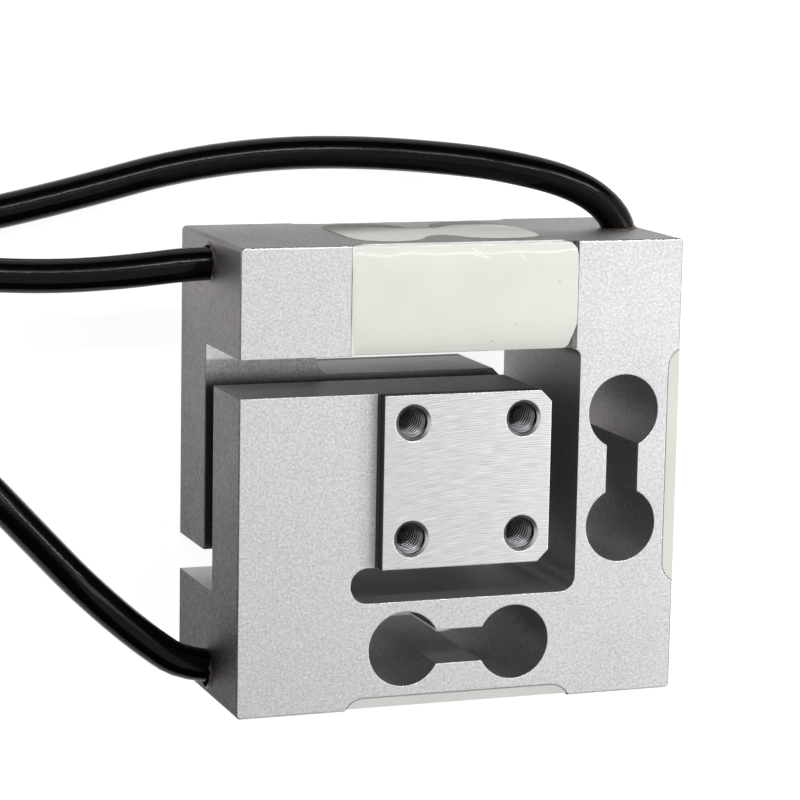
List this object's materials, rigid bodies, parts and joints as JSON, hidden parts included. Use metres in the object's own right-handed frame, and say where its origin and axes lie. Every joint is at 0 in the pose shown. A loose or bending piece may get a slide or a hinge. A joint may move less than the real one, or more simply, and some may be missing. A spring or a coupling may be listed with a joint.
{
  "type": "multi-axis force sensor",
  "caption": "Square machined spring body with interlocking plates, tapped mounting pads, potted strain gauges and coiled signal cables; measures force along each axis.",
  "frame": {"origin": "centre of the rear pad's face, on which the sensor stands; bottom centre of its box without the cables", "axes": "+Z is the load axis, from the rear pad to the front pad; +X runs towards the gauged column; +Y runs towards the beam with the long lobes"},
  "size_m": [0.1825, 0.0958, 0.03],
  "materials": {
    "blasted_aluminium": "fine bead-blasted, pads milled bright",
    "potting": "glossy white cast compound",
    "gauge_foil": "amber polyimide foil",
    "terminal_board": "solder-masked laminate",
    "bridge_wire": "enamelled copper",
    "core_insulation": "smooth insulation",
    "cable_jacket": "glossy black extruded jacket",
    "seal_adhesive": "brown cured adhesive",
    "lead_red": "smooth insulation",
    "lead_black": "smooth insulation",
    "lead_green": "smooth insulation",
    "lead_white": "smooth insulation",
    "tinned_copper": "tinned strands",
    "tie_nylon": "moulded black nylon"
  },
  "bodies": {
    "root": {"bridge_wires_bottom": "bridge_wire", "bridge_wires_column": "bridge_wire", "bridge_wires_front": "bridge_wire", "bridge_wires_rear": "bridge_wire", "cable_bottom": "cable_jacket", "cable_coil_bottom": "cable_jacket", "cable_coil_column": "cable_jacket", "cable_coil_top": "cable_jacket", "cable_column": "cable_jacket", "cable_seal_bottom": "seal_adhesive", "cable_seal_column": "seal_adhesive", "cable_seal_top": "seal_adhesive", "cable_tail_bottom": "cable_jacket", "cable_tail_column": "cable_jacket", "cable_tail_top": "cable_jacket", "cable_top": "cable_jacket", "coil_tie_1": "tie_nylon", "coil_tie_2": "tie_nylon", "gauge_bottom_left_front": "gauge_foil", "gauge_bottom_left_rear": "gauge_foil", "gauge_bottom_right_front": "gauge_foil", "gauge_bottom_right_rear": "gauge_foil", "gauge_column_lower_front": "gauge_foil", "gauge_column_lower_rear": "gauge_foil", "gauge_column_upper_front": "gauge_foil", "gauge_column_upper_rear": "gauge_foil", "gauge_front_left": "gauge_foil", "gauge_front_right": "gauge_foil", "gauge_rear_left": "gauge_foil", "gauge_rear_right": "gauge_foil", "lead_bottom_black": "lead_black", "lead_bottom_green": "lead_green", "lead_bottom_red": "lead_red", "lead_bottom_white": "lead_white", "lead_column_black": "lead_black", "lead_column_green": "lead_green", "lead_column_red": "lead_red", "lead_column_white": "lead_white", "lead_tips_bottom": "tinned_copper", "lead_tips_column": "tinned_copper", "lead_tips_top": "tinned_copper", "lead_top_black": "lead_black", "lead_top_green": "lead_green", "lead_top_red": "lead_red", "lead_top_white": "lead_white", "potting_bottom": "potting", "potting_column": "potting", "potting_front": "potting", "potting_rear": "potting", "potting_top": "potting", "signal_wires_bottom": "core_insulation", "signal_wires_column": "core_insulation", "signal_wires_top": "core_insulation", "spring_body": "blasted_aluminium", "terminal_board_bottom": "terminal_board", "terminal_board_column": "terminal_board", "terminal_board_front": "terminal_board", "terminal_board_rear": "terminal_board"}
  },
  "joints": []
}
